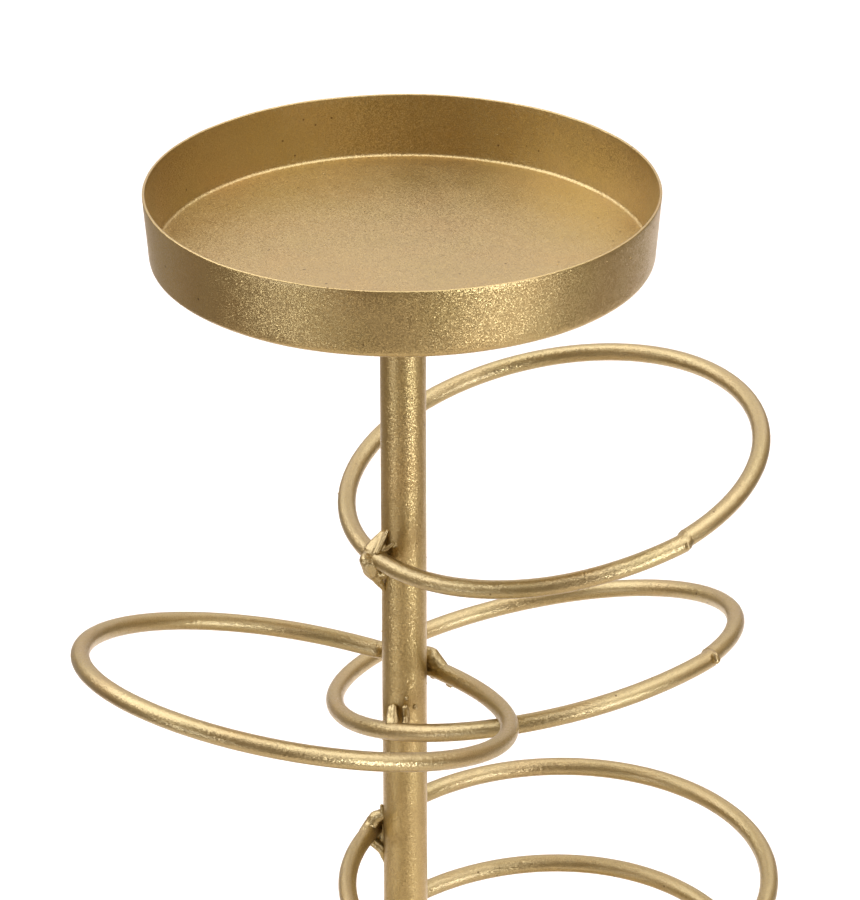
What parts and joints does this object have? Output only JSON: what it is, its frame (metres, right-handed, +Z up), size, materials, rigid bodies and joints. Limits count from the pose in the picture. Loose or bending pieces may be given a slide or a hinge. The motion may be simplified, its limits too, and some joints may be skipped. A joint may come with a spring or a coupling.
{
  "type": "candle holder",
  "caption": "Free-standing candle holder: a shallow round pan on a slim tube stem, with tilted wire rings welded around the stem at varied heights, on a flat round base.",
  "frame": {"origin": "middle of the felt's underside, on the stem's axis, at the level of the table", "axes": "+Z up along the stem; the picture looks along about +Y and downwards, with +X to its right"},
  "size_m": [0.1704, 0.1716, 0.32],
  "materials": {
    "gold_paint": "champagne gold metallic spray paint with fine metal flake, satin, over welded steel",
    "base_felt": "dark needle felt"
  },
  "bodies": {
    "root": {"candle_pan": "gold_paint", "pan_weld": "gold_paint", "stem_tube": "gold_paint", "base_plate": "gold_paint", "base_weld": "gold_paint", "base_felt": "base_felt", "ring_1": "gold_paint", "ring_1_seam": "gold_paint", "ring_1_weld": "gold_paint", "ring_2": "gold_paint", "ring_2_seam": "gold_paint", "ring_2_weld": "gold_paint", "ring_3": "gold_paint", "ring_3_seam": "gold_paint", "ring_3_weld": "gold_paint", "ring_4": "gold_paint", "ring_4_seam": "gold_paint", "ring_4_weld": "gold_paint", "ring_5": "gold_paint", "ring_5_seam": "gold_paint", "ring_5_weld": "gold_paint", "ring_6": "gold_paint", "ring_6_seam": "gold_paint", "ring_6_weld": "gold_paint", "ring_7": "gold_paint", "ring_7_seam": "gold_paint", "ring_7_weld": "gold_paint", "ring_8": "gold_paint", "ring_8_seam": "gold_paint", "ring_8_weld": "gold_paint", "ring_9": "gold_paint", "ring_9_seam": "gold_paint", "ring_9_weld": "gold_paint"}
  },
  "joints": []
}
